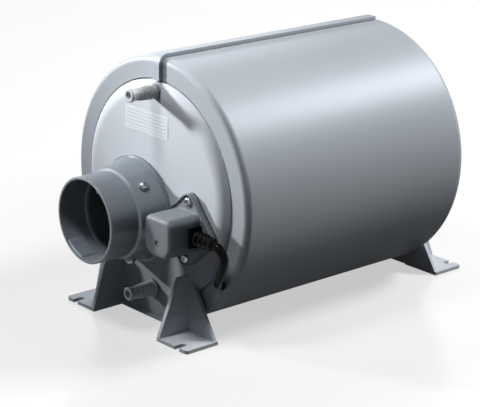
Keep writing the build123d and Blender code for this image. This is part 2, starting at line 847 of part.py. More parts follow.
with BuildPart() as terminal_cover:
    with BuildSketch(facing(flange_front)) as box_outline:
        cover_outline(box_outline, 0)
    extrude(amount=cover_out - flange_front)
    fillet(terminal_cover.faces().sort_by(Axis.Y)[0].edges(), cover_edge_round)
    # Base with a raised rim, and holes for its screws
    with BuildSketch(facing(flange_front)):
        base_outline(0)
        base_holes()
    extrude(amount=base_thickness)
    with BuildSketch(facing(base_front)):
        base_outline(0)
        with Locations(element_place):
            RectangleRounded(
                base_side - 2 * base_rim,
                base_side - 2 * base_rim,
                base_corner - base_rim,
                rotation=45 + base_turn,
                mode=Mode.SUBTRACT,
            )
    extrude(amount=base_rim_height)
    add(cover_core.part, mode=Mode.SUBTRACT)
    # Guide for the reset button, and its hole through the front
    with BuildSketch(facing(cover_out - cover_wall)):
        circles([cutout_place], guide_radius)
    extrude(amount=-guide_length)
    with BuildSketch(facing(cover_out)):
        circles([cutout_place], button_radius + fit_gap)
    extrude(amount=-cover_wall - guide_length, mode=Mode.SUBTRACT)
    # Window for the strain relief, and room for its boot over the base
    with BuildSketch(beside_cover(cover_side - cover_wall - overrun, relief_middle)):
        Rectangle(relief_neck + fit_gap, relief_neck + fit_gap)
    extrude(amount=cover_wall + 2 * overrun, mode=Mode.SUBTRACT)
    with BuildSketch(Plane(origin=boot_seat, z_dir=boot_direction)):
        Circle(boot_root_radius + boot_rib_rise + fit_gap)
    extrude(amount=boot_length, mode=Mode.SUBTRACT)

terminal_cover.part.label = "terminal_cover"
export_step(terminal_cover.part, "parts/terminal_cover.step")

# Screws through the cover's base, the flange and the gasket into the end plate's bosses
screw_reach = base_front - plate_inside + screw_boss_depth - screw_tip_room

with BuildPart() as cover_screws:
    with BuildSketch(facing(base_front)):
        circles(cover_screw_places, head_radius)
    extrude(amount=head_height)
    with BuildSketch(facing(base_front)):
        circles(cover_screw_places, cover_screw_radius)
    extrude(amount=-screw_reach)
    with BuildSketch(facing(base_front + head_height)):
        circles(cover_screw_places, drive_radius)
    extrude(amount=-drive_depth, mode=Mode.SUBTRACT)

cover_screws.part.label = "cover_screws"
export_step(cover_screws.part, "parts/cover_screws.step")

# Thermal cut-out on the flange, and the terminal block above the pins
with BuildPart() as thermal_cutout:
    with BuildSketch(facing(flange_front)):
        circles([cutout_place], cutout_radius)
    extrude(amount=cutout_height)

with BuildPart() as terminal_block:
    block_place = (element_right, block_rise - element_drop)
    with BuildSketch(facing(flange_front)):
        with Locations(block_place):
            Rectangle(block_width, block_height)
    extrude(amount=block_depth)
    with BuildSketch(facing(flange_front + block_depth)):
        with Locations(block_place):
            with GridLocations(block_screw_spacing, 0, 2, 1):
                Circle(block_screw_radius)
    extrude(amount=-block_screw_depth, mode=Mode.SUBTRACT)

thermal_cutout.part.label = "thermal_cutout"
export_step(thermal_cutout.part, "parts/thermal_cutout.step")
terminal_block.part.label = "terminal_block"
export_step(terminal_block.part, "parts/terminal_block.step")

# Reset button: its shoulder rests on the back of the guide, and it is pressed onto the cut-out
shoulder_front = cover_out - cover_wall - guide_length
shoulder_back = shoulder_front - button_shoulder_length

with BuildPart() as reset_button:
    with BuildSketch(turning(cutout_place)):
        Polygon(
            (cover_out - button_recess, 0),
            (cover_out - button_recess, button_radius),
            (shoulder_front, button_radius),
            (shoulder_front, button_radius + button_shoulder),
            (shoulder_back, button_radius + button_shoulder),
            (shoulder_back, button_radius),
            (cutout_front + button_travel, button_radius),
            (cutout_front + button_travel, 0),
            align=None,
        )
    revolve(axis=turning_axis(cutout_place))

reset_button.part.label = "reset_button"
export_step(reset_button.part, "parts/reset_button.step")

# Strain relief: a grip inside the cover, a block outside, and a ribbed boot
boot_plane = Plane(origin=boot_root, x_dir=boot_direction, z_dir=(0, 1, 0))
rib_pitch = (boot_length - relief_proud) / boot_ribs
grip_back = cover_side - cover_wall - relief_grip_thickness


def boot_radius(along):
    """Radius of the boot's cone, this far along it."""
    return boot_root_radius + (boot_tip_radius - boot_root_radius) * along / boot_length


boot_start = relief_proud / 2
boot_points = [(boot_start, 0), (boot_start, boot_radius(boot_start))]
for rib in range(boot_ribs):
    rib_end = relief_proud + (rib + 1) * rib_pitch
    rib_start = rib_end - rib_pitch * boot_rib_share
    boot_points += [
        (rib_start, boot_radius(rib_start)),
        (rib_start, boot_radius(rib_start) + boot_rib_rise),
        (rib_end, boot_radius(rib_end) + boot_rib_rise),
        (rib_end, boot_radius(rib_end)),
    ]
boot_points.append((boot_length, 0))

with BuildPart() as strain_relief:
    with BuildSketch(beside_cover(grip_back, relief_middle)):
        Rectangle(relief_grip, relief_grip)
    extrude(amount=relief_grip_thickness)
    with BuildSketch(beside_cover(grip_back, relief_middle)):
        Rectangle(relief_neck, relief_neck)
    extrude(amount=relief_grip_thickness + cover_wall + relief_proud)
    with BuildSketch(beside_cover(cover_side, relief_middle)):
        Rectangle(relief_front - base_front, relief_height)
    extrude(amount=relief_proud)
    with BuildSketch(boot_plane):
        Polygon(*boot_points, align=None)
    revolve(axis=Axis(boot_root, boot_direction))

strain_relief.part.label = "strain_relief"
export_step(strain_relief.part, "parts/strain_relief.step")
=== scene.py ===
"""Caravan water heater, dressed over its solids and lit in a pale studio."""

from __future__ import annotations

import json
import logging
from dataclasses import dataclass
from enum import Enum
from math import cos, pi, radians, sin

import bmesh
import bpy
import numpy as np
from mathutils import Matrix, Vector

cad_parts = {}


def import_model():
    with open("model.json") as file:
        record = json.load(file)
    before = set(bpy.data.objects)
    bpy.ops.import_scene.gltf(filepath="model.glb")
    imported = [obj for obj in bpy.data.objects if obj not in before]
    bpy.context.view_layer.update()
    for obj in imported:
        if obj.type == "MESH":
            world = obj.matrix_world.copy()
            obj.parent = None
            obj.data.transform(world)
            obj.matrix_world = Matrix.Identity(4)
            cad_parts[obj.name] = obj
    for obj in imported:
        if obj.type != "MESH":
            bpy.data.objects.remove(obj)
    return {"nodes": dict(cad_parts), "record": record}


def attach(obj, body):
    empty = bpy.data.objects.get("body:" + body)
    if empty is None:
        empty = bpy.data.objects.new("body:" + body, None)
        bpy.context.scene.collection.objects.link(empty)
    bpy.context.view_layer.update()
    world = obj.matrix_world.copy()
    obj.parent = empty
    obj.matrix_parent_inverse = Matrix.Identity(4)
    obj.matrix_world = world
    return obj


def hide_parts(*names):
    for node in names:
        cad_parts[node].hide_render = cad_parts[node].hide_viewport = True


log = logging.getLogger("heater")

MM = 0.001
HEATER = "heater"
ARC_STEPS = 7
TURN_STEPS = 56

Colour = tuple[float, float, float]  # red, green and blue, from 0 to 1


class Side(Enum):
    """End of the heater, as the direction of Y that leads out of it."""

    FRONT = -1
    REAR = 1


@dataclass(frozen=True)
class Sizes:
    """Sizes of the solids that the dressed pieces fit, and the label's, in metres."""

    front: float = -125.75 * MM
    axis_height: float = 112.2 * MM
    plate_out: float = 6.0 * MM
    duct_x: float = -20.0 * MM
    duct_z: float = 91.7 * MM
    socket_bore: float = 34.0 * MM
    duct_screw_out: float = 22.0 * MM
    duct_screw_seat: float = 41.43 * MM
    duct_screw_tip: float = 32.5 * MM
    duct_screw_shank: float = 1.7 * MM
    duct_screw_angles: tuple[int, ...] = (45, 165, 285)
    cover_screw_out: float = 11.0 * MM
    cover_screw_reach: float = 24.4 * MM
    cover_screw_angle: float = 86.0
    cover_screw_length: float = 15.0 * MM
    cover_screw_shank: float = 2.0 * MM
    element: tuple[float, float] = (49.5 * MM, -21.0 * MM)
    hot_tail: tuple[float, float] = (2.5 * MM, 84.0 * MM)
    hot_collar: float = 6.5 * MM
    cold_tail: tuple[float, float] = (0.0, -85.0 * MM)
    cold_collar: float = 8.0 * MM
    label: tuple[float, float] = (-8.3 * MM, 55.4 * MM)
    label_half: tuple[float, float] = (27.6 * MM, 9.7 * MM)

    def at(self, right: float, out: float, above: float) -> Vector:
        """Point on the front: to the right, out from the casing, above its axis.

        Args:
            right: distance to the right of the middle.
            out: distance forwards of the casing's front face.
            above: height above the casing's axis.

        Returns:
            The point in the frame.
        """
        return Vector((right, self.front - out, self.axis_height + above))


SIZES = Sizes()


class Wire:
    """A shader socket that adds Math nodes when it is used in an expression."""

    def __init__(self, tree: bpy.types.NodeTree, socket: bpy.types.NodeSocket) -> None:
        """Wrap a socket of a node tree."""
        self.tree = tree
        self.socket = socket

    def _math(self, operation: str, first: object, second: object = 0.0) -> Wire:
        """Add a Math node.

        Args:
            operation: what the node does.
            first: wire or number for its first socket.
            second: wire or number for its second socket.

        Returns:
            The wire of its result.
        """
        node = self.tree.nodes.new("ShaderNodeMath")
        node.operation = operation
        for index, value in enumerate((first, second)):
            if isinstance(value, Wire):
                self.tree.links.new(value.socket, node.inputs[index])
            else:
                node.inputs[index].default_value = float(value)
        return Wire(self.tree, node.outputs[0])

    def __add__(self, other: object) -> Wire:
        """Sum."""
        return self._math("ADD", self, other)

    __radd__ = __add__

    def __sub__(self, other: object) -> Wire:
        """Difference."""
        return self._math("SUBTRACT", self, other)

    def __rsub__(self, other: object) -> Wire:
        """Difference from a number."""
        return self._math("SUBTRACT", other, self)

    def __mul__(self, other: object) -> Wire:
        """Product."""
        return self._math("MULTIPLY", self, other)

    __rmul__ = __mul__


class Paint:
    """Node tree of one material, with a Principled shader at its end."""

    def __init__(self, name: str) -> None:
        """Start an empty material.

        Args:
            name: the material's name.
        """
        self.material = bpy.data.materials.new(name)
        self.material.use_nodes = True
        self.tree = self.material.node_tree
        self.tree.nodes.clear()
        self.shader = self.tree.nodes.new("ShaderNodeBsdfPrincipled")
        out = self.tree.nodes.new("ShaderNodeOutputMaterial")
        self.tree.links.new(self.shader.outputs[0], out.inputs[0])
        self.place = self.node("ShaderNodeTexCoord", output="Object")

    def node(
        self,
        kind: str,
        settings: dict | None = None,
        inputs: dict | None = None,
        output: object = 0,
    ) -> Wire:
        """Add any node.

        Args:
            kind: the node's type.
            settings: attributes that are set first.
            inputs: values or wires for its sockets, by name or index.
            output: name or index of the socket that is returned.

        Returns:
            The wire of the chosen output.
        """
        made = self.tree.nodes.new(kind)
        for key, value in (settings or {}).items():
            setattr(made, key, value)
        for key, value in (inputs or {}).items():
            if isinstance(value, Wire):
                self.tree.links.new(value.socket, made.inputs[key])
            else:
                made.inputs[key].default_value = value
        return Wire(self.tree, made.outputs[output])

    def noise(
        self, scale: float, detail: float, stretch: tuple[float, float, float] | None = None
    ) -> Wire:
        """Noise around one half.

        Args:
            scale: how fine the noise is, in waves per metre.
            detail: how many finer layers lie on it.
            stretch: factors on the place along the three axes, or none.

        Returns:
            The wire of the noise.
        """
        place = self.place
        if stretch:
            place = self.node("ShaderNodeMapping", inputs={"Vector": place, "Scale": stretch})
        inputs = {"Vector": place, "Scale": scale, "Detail": detail}
        return self.node("ShaderNodeTexNoise", inputs=inputs)

    def coordinate(self, axis: str) -> Wire:
        """Place along one axis, "X", "Y" or "Z"."""
        return self.node("ShaderNodeSeparateXYZ", inputs={0: self.place}, output=axis)

    def clamped(self, first: Wire, second: object) -> Wire:
        """Product of a wire and another or a number, kept from zero to one."""
        settings = {"operation": "MULTIPLY", "use_clamp": True}
        return self.node("ShaderNodeMath", settings, {0: first, 1: second})

    def blend(self, share: Wire, start: Colour | Wire, end: Colour | Wire) -> Wire:
        """Mix two colours.

        Args:
            share: the wire that tells how much of the end there is.
            start: colour where the share is zero.
            end: colour where it is one.

        Returns:
            The wire of the mixed colour.
        """
        first, second = (c if isinstance(c, Wire) else (*c, 1.0) for c in (start, end))
        inputs = {0: share, 6: first, 7: second}
        return self.node("ShaderNodeMix", {"data_type": "RGBA"}, inputs, output=2)

    def give(self, **inputs: object) -> None:
        """Set or link sockets of the shader.

        Args:
            inputs: wires or values, by the sockets' names with underscores for spaces.
        """
        for key, value in inputs.items():
            socket = self.shader.inputs[key.replace("_", " ")]
            if isinstance(value, Wire):
                self.tree.links.new(value.socket, socket)
            else:
                socket.default_value = value

    def relief(self, height: Wire, strength: float, depth: float, edge: float = 0.0) -> None:
        """Bump the surface, and soften its edges.

        Args:
            height: the wire of the height.
            strength: share of the bump.
            depth: depth of the bump.
            edge: radius that the edges seem to have, or zero to leave them sharp.
        """
        inputs = {"Height": height, "Strength": strength, "Distance": depth}
        if edge:
            inputs["Normal"] = self.node("ShaderNodeBevel", {"samples": 4}, {"Radius": edge})
        self.give(Normal=self.node("ShaderNodeBump", inputs=inputs))


def shade(colour: Colour, factor: float) -> Colour:
    """Colour times a factor, up to white."""
    return tuple(min(1.0, part * factor) for part in colour)


@dataclass(frozen=True)
class MouldedPlastic:
    """Moulded plastic: faint cloudy tone, fine spark-eroded grain, soft edges."""

    name: str
    colour: Colour
    roughness: float
    metal: float = 0.0
    grain: float = 900.0
    grain_depth: float = 0.06 * MM
    edge: float = 0.7 * MM
    specular: float = 0.4
    cloud: float = 9.0
    tones: tuple[float, float] = (0.95, 1.05)
    mottle: float = 0.12
    strength: float = 0.35

    def make(self) -> bpy.types.Material:
        """Build the material: tone = colour x (0.95 to 1.05) by a wide noise.

        Returns:
            The material.
        """
        paint = Paint(self.name)
        cloud = paint.noise(self.cloud, 2.0)
        grain = paint.noise(self.grain, 2.0)
        dark, light = (shade(self.colour, tone) for tone in self.tones)
        paint.give(
            Base_Color=paint.blend(cloud, dark, light),
            Roughness=(grain - 0.5) * self.mottle + self.roughness,
            Metallic=self.metal,
            Specular_IOR_Level=self.specular,
        )
        paint.relief(grain, self.strength, self.grain_depth, self.edge)
        return paint.material


@dataclass(frozen=True)
class Rubber:
    """Rubber or flexible plastic with dust-dull patches and a faint grain."""

    name: str
    colour: Colour
    roughness: float
    edge: float = 0.4 * MM
    strength: float = 0.25
    specular: float = 0.14
    patches: float = 60.0
    tones: tuple[float, float] = (0.8, 1.3)
    mottle: float = 0.1
    grain: float = 500.0
    grain_depth: float = 0.05 * MM

    def make(self) -> bpy.types.Material:
        """Build the material: tone and roughness both follow a patchy noise.

        Returns:
            The material.
        """
        paint = Paint(self.name)
        patch = paint.noise(self.patches, 3.0)
        dark, light = (shade(self.colour, tone) for tone in self.tones)
        paint.give(
            Base_Color=paint.blend(patch, dark, light),
            Roughness=(patch - 0.5) * self.mottle + self.roughness,
            Specular_IOR_Level=self.specular,
        )
        paint.relief(paint.noise(self.grain, 2.0), self.strength, self.grain_depth, self.edge)
        return paint.material


@dataclass(frozen=True)
class Steel:
    """Plated or drawn metal with fine lines along one direction."""

    name: str
    colour: Colour
    roughness: float
    fineness: float = 700.0
    lines: tuple[float, float, float] = (1.0, 0.05, 1.0)
    dark_tone: float = 0.85
    mottle: float = 0.25
    strength: float = 0.3
    depth: float = 0.03 * MM
    edge: float = 0.3 * MM

    def make(self) -> bpy.types.Material:
        """Build the material: the lines are a fine noise, stretched along one axis.

        Returns:
            The material.
        """
        paint = Paint(self.name)
        drawn = paint.noise(self.fineness, 3.0, self.lines)
        paint.give(
            Base_Color=paint.blend(drawn, shade(self.colour, self.dark_tone), self.colour),
            Roughness=(drawn - 0.5) * self.mottle + self.roughness,
            Metallic=1.0,
        )
        paint.relief(drawn, self.strength, self.depth, self.edge)
        return paint.material


@dataclass(frozen=True)
class BeadFoam:
    """White bead foam: rounded cells a few millimetres wide."""

    name: str
    colour: Colour
    roughness: float = 0.9
    beads: float = 260.0
    seam_tone: float = 0.8
    strength: float = 0.6
    depth: float = 0.5 * MM

    def make(self) -> bpy.types.Material:
        """Build the material: darker and lower where two beads meet.

        Returns:
            The material.
        """
        paint = Paint(self.name)
        inputs = {"Vector": paint.place, "Scale": self.beads}
        seam = paint.node("ShaderNodeTexVoronoi", inputs=inputs, output="Distance")
        tone = paint.blend(1.0 - seam, shade(self.colour, self.seam_tone), self.colour)
        paint.give(Base_Color=tone, Roughness=self.roughness)
        paint.relief(1.0 - seam, self.strength, self.depth)
        return paint.material


@dataclass(frozen=True)
class PrintedPlate:
    """Blank silver data plate: fine brushing and plain rulings under a clear film."""

    name: str = "data_plate_foil"
    foil: tuple[Colour, Colour] = ((0.6, 0.64, 0.68), (0.66, 0.7, 0.74))
    ink: Colour = (0.12, 0.13, 0.15)
    ink_share: float = 0.35
    ruling: float = 2.9 * MM
    margin: float = 2.2 * MM
    sharpness: float = 4000.0
    brushing: float = 500.0
    brush_lines: tuple[float, float, float] = (0.06, 1.0, 1.0)
    roughness: float = 0.35
    mottle: float = 0.15
    strength: float = 0.2
    depth: float = 0.02 * MM

    def inside(self, paint: Paint, axis: str, centre: float, half: float) -> Wire:
        """One within the margin along an axis, and zero outside.

        Args:
            paint: the material.
            axis: "X" or "Z".
            centre: middle of the plate along the axis.
            half: half of the plate's size along the axis.

        Returns:
            The wire, (half - margin - |place - centre|) x sharpness from 0 to 1.
        """
        place = paint.coordinate(axis)
        off = paint.node("ShaderNodeMath", {"operation": "ABSOLUTE"}, {0: place - centre})
        return paint.clamped((half - self.margin) - off, self.sharpness)

    def make(self) -> bpy.types.Material:
        """Build the material: ink = (4 sin(2 pi z / ruling) - 2.4) from 0 to 1, in the margin.

        Returns:
            The material.
        """
        paint = Paint(self.name)
        brushed = paint.noise(self.brushing, 3.0, self.brush_lines)
        phase = paint.coordinate("Z") * (2 * pi / self.ruling)
        rows = paint.node("ShaderNodeMath", {"operation": "SINE"}, {0: phase})
        middle = SIZES.axis_height + SIZES.label[1]
        across = self.inside(paint, "X", SIZES.label[0], SIZES.label_half[0])
        upright = self.inside(paint, "Z", middle, SIZES.label_half[1])
        lines = paint.clamped(rows * 4.0 - 2.4, across * upright)
        foil = paint.blend(brushed, *self.foil)
        paint.give(
            Base_Color=paint.blend(lines * self.ink_share, foil, self.ink),
            Roughness=(brushed - 0.5) * self.mottle + self.roughness,
            Metallic=0.1,
            Coat_Weight=0.15,
            Coat_Roughness=0.1,
        )
        paint.relief(brushed, self.strength, self.depth)
        return paint.material


def surface(name: str, points: np.ndarray, loop_u: bool, loop_v: bool) -> bpy.types.Object:
    """Make a smooth mesh: one face between each four neighbours in a grid of points.

    Args:
        name: name of the piece.
        points: array of rows x columns x 3.
        loop_u: whether the last row joins the first.
        loop_v: whether the last column joins the first.

    Returns:
        The object, at the origin.
    """
    rows, columns = points.shape[:2]
    row = np.arange(rows if loop_u else rows - 1)
    column = np.arange(columns if loop_v else columns - 1)
    a, b = np.meshgrid(row, column, indexing="ij")
    a2, b2 = (a + 1) % rows, (b + 1) % columns
    corners = ((a, b), (a2, b), (a2, b2), (a, b2))
    quads = np.stack([i * columns + j for i, j in corners], -1)
    mesh = bpy.data.meshes.new(name)
    mesh.from_pydata(points.reshape(-1, 3).tolist(), [], quads.reshape(-1, 4).tolist())
    mesh.update()
    mesh.polygons.foreach_set("use_smooth", np.ones(len(mesh.polygons), dtype=bool))
    piece = bpy.data.objects.new(name, mesh)
    bpy.context.scene.collection.objects.link(piece)
    return piece


def tidy_mesh(
    piece: bpy.types.Object, merge: float = 1e-7, fill: bool = False
) -> bpy.types.Object:
    """Merge doubled points and turn all faces outwards.

    Args:
        piece: the piece.
        merge: distance below which points are doubled.
        fill: whether open ends are closed first.

    Returns:
        The same piece.
    """
    work = bmesh.new()
    work.from_mesh(piece.data)
    if fill:
        bmesh.ops.holes_fill(work, edges=work.edges)
    bmesh.ops.remove_doubles(work, verts=work.verts, dist=merge)
    bmesh.ops.recalc_face_normals(work, faces=work.faces)
    work.to_mesh(piece.data)
    work.free()
    return piece


def turned(
    name: str, origin: Vector, axis: Vector, profile: np.ndarray, hollow: bool = False
) -> bpy.types.Object:
    """Turn a profile about an axis: point = origin + s x axis + r x (u cos t + v sin t).

    Args:
        name: name of the piece.
        origin: a point on the axis.
        axis: direction of the axis.
        profile: rows of (distance along the axis, radius).
        hollow: whether the last row joins the first, or else both lie on the axis.

    Returns:
        The closed piece.
    """
    axis = axis.normalized()
    u = axis.orthogonal().normalized()
    v = axis.cross(u)
    turn = np.linspace(0.0, 2 * pi, TURN_STEPS, endpoint=False)
    ring = np.cos(turn)[:, None] * np.array(u) + np.sin(turn)[:, None] * np.array(v)
    along = profile[:, :1, None] * np.array(axis)
    points = np.array(origin) + along + profile[:, 1:2, None] * ring[None]
    return tidy_mesh(surface(name, points, hollow, True))


def arc(centre: tuple[float, float], radius: float, start: float, end: float) -> np.ndarray:
    """Make rows of a profile along an arc: centre + radius x (cos t, sin t).

    Args:
        centre: distance along the axis and from it.
        radius: the arc's radius.
        start: first angle in degrees, from the axis.
        end: last angle.

    Returns:
        Rows of (distance along the axis, radius).
    """
    turn = np.radians(np.linspace(start, end, ARC_STEPS))
    return np.array(centre) + radius * np.stack([np.cos(turn), np.sin(turn)], 1)


def dress(piece: bpy.types.Object, material: bpy.types.Material) -> bpy.types.Object:
    """Give a new piece its material and slot, and let it ride on the heater.

    Args:
        piece: the piece.
        material: its material.

    Returns:
        The same piece.
    """
    piece.data.materials.clear()
    piece.data.materials.append(material)
    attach(piece, HEATER)
    log.info("piece %s", piece.name)
    return piece


@dataclass
class MainsLead:
    """Short lead from the strain relief's boot into the casing."""

    route_mm: tuple[tuple[float, float, float], ...] = (
        (88.47, -142.15, 90.01),
        (92.76, -142.15, 89.78),
        (96.48, -141.68, 87.58),
        (98.61, -140.73, 84.00),
        (98.80, -139.21, 78.21),
        (93.99, -137.03, 68.18),
        (89.20, -135.84, 60.60),
        (85.42, -134.00, 55.59),
        (82.38, -130.83, 52.37),
        (78.29, -122.30, 49.03),
    )
    diameter: float = 7.2 * MM
    length: float = 60.8 * MM
    round_steps: int = 8
    route_steps: int = 12

    def build(self, material: bpy.types.Material) -> bpy.types.Object:
        """Args:
            material: the lead's material.

        Returns:
            The lead.
        """
        curve = bpy.data.curves.new("lead", "CURVE")
        curve.dimensions = "3D"
        curve.bevel_depth = self.diameter / 2
        curve.bevel_resolution = self.round_steps
        curve.resolution_u = self.route_steps
        curve.use_fill_caps = True
        spline = curve.splines.new("NURBS")
        spline.points.add(len(self.route_mm) - 1)
        for point, place in zip(spline.points, self.route_mm):
            point.co = (*(value * MM for value in place), 1.0)
        spline.order_u = 3
        spline.use_endpoint_u = True
        piece = bpy.data.objects.new("lead", curve)
        bpy.context.scene.collection.objects.link(piece)
        dress(piece, material)
        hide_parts("mains_lead")
        return piece


@dataclass
class Boot:
    """Round-ribbed sleeve of the strain relief, fitted over its solid."""

    root: tuple[float, float, float] = (65.7 * MM, -142.15 * MM, 91.2 * MM)
    droop: float = 3.0
    start: float = 2.7 * MM
    length: float = 20.1 * MM
    root_radius: float = 5.3 * MM
    tip_radius: float = 4.4 * MM
    ribs: int = 4
    rise: float = 1.25 * MM
    steps: int = 97

    def build(self, material: bpy.types.Material) -> bpy.types.Object:
        """Radius = cone + rise x max(0, sin 2 pi (n s - 0.15))^0.7, for n ribs.

        Here s is the share of the way along, and the ribs fade out over the last twelfth.

        Args:
            material: the boot's material.

        Returns:
            The sleeve.
        """
        along = np.linspace(0.0, 1.0, self.steps)
        wave = np.clip(np.sin(2 * pi * (along * self.ribs - 0.15)), 0.0, 1.0) ** 0.7
        fade = np.clip((1.0 - along) * 12.0, 0.0, 1.0)
        cone = self.root_radius + (self.tip_radius - self.root_radius) * along
        radius = cone + self.rise * wave * fade
        rows = np.stack([self.start + along * self.length, radius], 1)
        rows = np.concatenate([rows[:1] * [1, 0], rows, rows[-1:] * [1, 0]])
        axis = Vector((cos(radians(self.droop)), 0, -sin(radians(self.droop))))
        return dress(turned("boot_sleeve", Vector(self.root), axis, rows), material)


@dataclass
class HoseTail:
    """Hose tail with round ridges, a rounded tip and a collar, in the place of its solid."""

    collar: float
    collar_height: float = 1.6 * MM
    base: float = 7.0 * MM
    tip: float = 32.7 * MM
    pipe_end: float = -24.0 * MM
    bore: float = 2.4 * MM
    mouth: float = 3.0 * MM
    mouth_depth: float = 7.0 * MM
    pipe: float = 4.4 * MM
    radius: float = 5.1 * MM
    lip: float = 0.7 * MM
    lip_reach: float = 2.2 * MM
    smooth: float = 8.0 * MM
    ridges: int = 6
    rise: float = 1.55 * MM
    rounding: float = 0.9 * MM
    mouth_rounding: float = 0.25 * MM
    steps: int = 150

    def build(
        self, name: str, place: tuple[float, float], node: str, material: bpy.types.Material
    ) -> bpy.types.Object:
        """Radius = r + lip exp(-(d / reach)^4) + rise s^0.5 |sin(pi n s)|^0.7, for n ridges.

        Here d is the way behind the tip, and s the share of the way over the ridges.

        Args:
            name: name of the piece.
            place: place to the right of the casing's axis and above it.
            node: the solid that it replaces.
            material: its material.

        Returns:
            The hose tail.
        """
        start, end = self.tip - self.smooth, self.base + self.collar_height
        behind = np.linspace(0.0, self.tip - self.rounding - end, self.steps)
        out = self.tip - self.rounding - behind
        share = np.clip((start - out) / (start - end), 0.0, 1.0)
        ridge = self.rise * share**0.5 * np.abs(np.sin(pi * self.ridges * share)) ** 0.7
        radius = self.radius + self.lip * np.exp(-((behind / self.lip_reach) ** 4)) + ridge
        edge = (self.tip - self.rounding, self.radius + self.lip - self.rounding)
        mouth = (self.tip - self.mouth_rounding, self.mouth + self.mouth_rounding)
        rim = (end - self.rounding / 2, self.collar - self.rounding / 2)
        step = self.tip - self.mouth_depth
        rows = np.concatenate([
            [(self.pipe_end, self.bore), (step, self.bore), (step, self.mouth)],
            arc(mouth, self.mouth_rounding, -90.0, 0.0),
            arc(edge, self.rounding, 0.0, 90.0),
            np.stack([out, radius], 1)[1:],
            arc(rim, self.rounding / 2, 0.0, 90.0),
            [(self.base, self.collar), (self.base, self.pipe), (self.pipe_end, self.pipe)],
        ])
        origin = SIZES.at(place[0], 0.0, place[1])
        piece = dress(turned(name, origin, Vector((0, -1, 0)), rows, True), material)
        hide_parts(node)
        return piece


@dataclass
class PanScrew:
    """Pan-head screw with a cross recess and a plain shank."""

    shank: float
    length: float
    radius: float = 3.8 * MM
    height: float = 2.4 * MM
    arm_width: float = 0.75 * MM
    arm_length: float = 2.1 * MM
    depth: float = 1.5 * MM
    rings: int = 30
    steps: int = 64

    def build(
        self, name: str, centre: Vector, axis: Vector, node: str, material: bpy.types.Material
    ) -> bpy.types.Object:
        """Head height = h (1 - 0.3 s^2 - 0.5 s^9) of the radius' share s, less a cross recess.

        The recess is depth x (1.6 - 1.6 n, from 0 to 1) x (3.3 - 3 f, from 0 to 1). Here n is
        the lesser of |x| and |y| as a share of the arm's width, and f the greater of the two
        as a share of the arm's length.

        Args:
            name: name of the piece.
            centre: middle of the head's underside.
            axis: direction out of the head.
            node: the solid that it replaces.
            material: its material.

        Returns:
            The screw.
        """
        axis = axis.normalized()
        u = axis.orthogonal().normalized()
        v = axis.cross(u)
        share = np.linspace(0.0, 1.0, self.rings) ** 0.8
        turn = np.linspace(0.0, 2 * pi, self.steps, endpoint=False)
        s, t = np.meshgrid(share, turn, indexing="ij")
        x, y = self.radius * s * np.cos(t), self.radius * s * np.sin(t)
        narrow = np.minimum(np.abs(x), np.abs(y)) / self.arm_width
        far = np.maximum(np.abs(x), np.abs(y)) / self.arm_length
        recess = np.clip(1.6 - 1.6 * narrow, 0.0, 1.0) * np.clip(3.3 - 3.0 * far, 0.0, 1.0)
        z = self.height * (1.0 - 0.3 * s**2 - 0.5 * s**9) - self.depth * recess
        radius = np.array([self.radius, self.shank, self.shank, 0.0])[:, None]
        height = np.array([0.0, 0.0, -self.length, -self.length])[:, None]
        x = np.concatenate([x, radius * np.cos(turn)])
        y = np.concatenate([y, radius * np.sin(turn)])
        z = np.concatenate([z, np.broadcast_to(height, (height.size, turn.size))])
        x, y, z = x[..., None], y[..., None], z[..., None]
        points = x * np.array(u) + y * np.array(v) + z * np.array(axis) + np.array(centre)
        piece = tidy_mesh(surface(name, points, False, True))
        dress(piece, material)
        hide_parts(node)
        return piece


@dataclass
class DataPlate:
    """Blank foil plate on the front, below the upper hose tail."""

    centre: tuple[float, float] = SIZES.label
    half: tuple[float, float] = SIZES.label_half
    corner: float = 0.8 * MM
    thickness: float = 0.2 * MM
    steps: int = 65
    start: float = 0.01

    def build(self, material: bpy.types.Material) -> bpy.types.Object:
        """Outline = sign(cos t, sin t) x (half - corner) + corner x (cos t, sin t).

        Its angles start beside the axis, so that no sign is zero, and its sides meet its
        faces sharply.

        Args:
            material: the plate's material.

        Returns:
            The plate.
        """
        turn = np.linspace(0.0, 2 * pi, self.steps)[:-1] + self.start
        edge = np.stack([np.cos(turn), np.sin(turn)], 1)
        outline = np.sign(edge) * (np.array(self.half) - self.corner) + edge * self.corner
        share = np.array([0.0, 1.0, 1.0, 0.0])[:, None]
        out = SIZES.plate_out + np.array([0.0, 0.0, 1.0, 1.0])[:, None] * self.thickness
        x = self.centre[0] + share * outline[:, 0]
        z = SIZES.axis_height + self.centre[1] + share * outline[:, 1]
        y = np.broadcast_to(SIZES.front - out, x.shape)
        piece = tidy_mesh(surface("data_plate", np.stack([x, y, z], -1), False, True))
        sharp = np.zeros(len(piece.data.polygons), dtype=bool)
        piece.data.polygons.foreach_set("use_smooth", sharp)
        return dress(piece, material)


